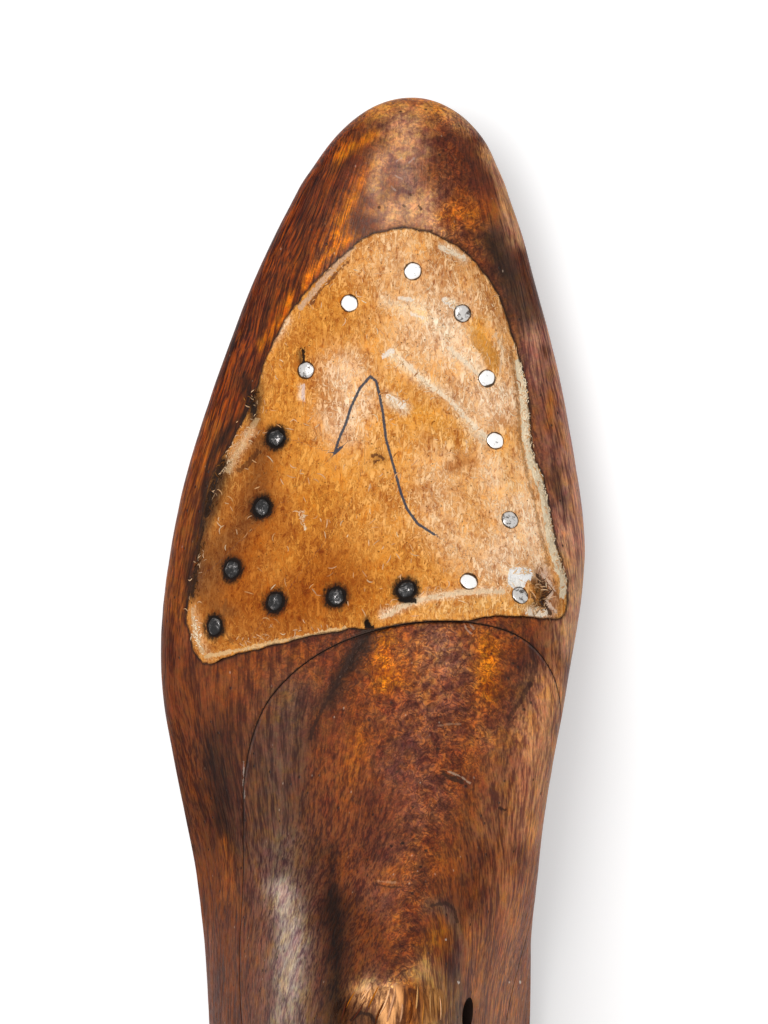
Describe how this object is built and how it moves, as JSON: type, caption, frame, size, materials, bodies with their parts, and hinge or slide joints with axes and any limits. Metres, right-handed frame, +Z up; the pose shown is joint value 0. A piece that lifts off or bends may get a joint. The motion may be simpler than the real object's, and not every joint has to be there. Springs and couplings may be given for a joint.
{
  "type": "shoe last",
  "caption": "Two-piece wooden shoe last for a man's left foot, with a lift-off scooped instep block and a leather build-up tacked over the forepart.",
  "frame": {"origin": "middle of the bounding box at its base, where the ball of the sole and the back edge of the heel seat stand on the bench", "axes": "+Y from the heel towards the toe, +X towards the inner side of the left foot, +Z up"},
  "size_m": [0.0943, 0.29, 0.0956],
  "materials": {
    "body_wood": "aged, polished by handling",
    "block_wood": "aged, polished by handling",
    "leather": "worn, fibrous flesh side",
    "bright_tack": "bright",
    "rusted_tack": "dark, oxidised",
    "screw_steel": "dull",
    "pin_steel": "dull",
    "thimble_steel": "dull"
  },
  "bodies": {
    "last": {"last_body": "body_wood", "leather_buildup": "leather", "locating_pin": "pin_steel", "jack_thimble": "thimble_steel", "tack_toe": "bright_tack", "tack_toe_lateral": "bright_tack", "tack_toe_medial": "bright_tack", "tack_medial_1": "bright_tack", "tack_medial_2": "bright_tack", "tack_medial_3": "bright_tack", "tack_rear_4": "bright_tack", "tack_rear_5": "bright_tack", "tack_lateral_1": "bright_tack", "tack_lateral_2": "rusted_tack", "tack_lateral_3": "rusted_tack", "tack_lateral_4": "rusted_tack", "tack_lateral_5": "rusted_tack", "tack_rear_1": "rusted_tack", "tack_rear_2": "rusted_tack", "tack_rear_3": "rusted_tack"},
    "block": {"instep_block": "block_wood"},
    "screw": {"block_screw": "screw_steel"}
  },
  "joints": [
    {"name": "block_lift", "type": "slide", "parent": "last", "child": "block", "axis": [0, 0, 1], "range_m": [0, 0.06]},
    {"name": "screw_back_out", "type": "slide", "parent": "block", "child": "screw", "axis": [0, 0, 1], "range_m": [0, 0.068]}
  ]
}
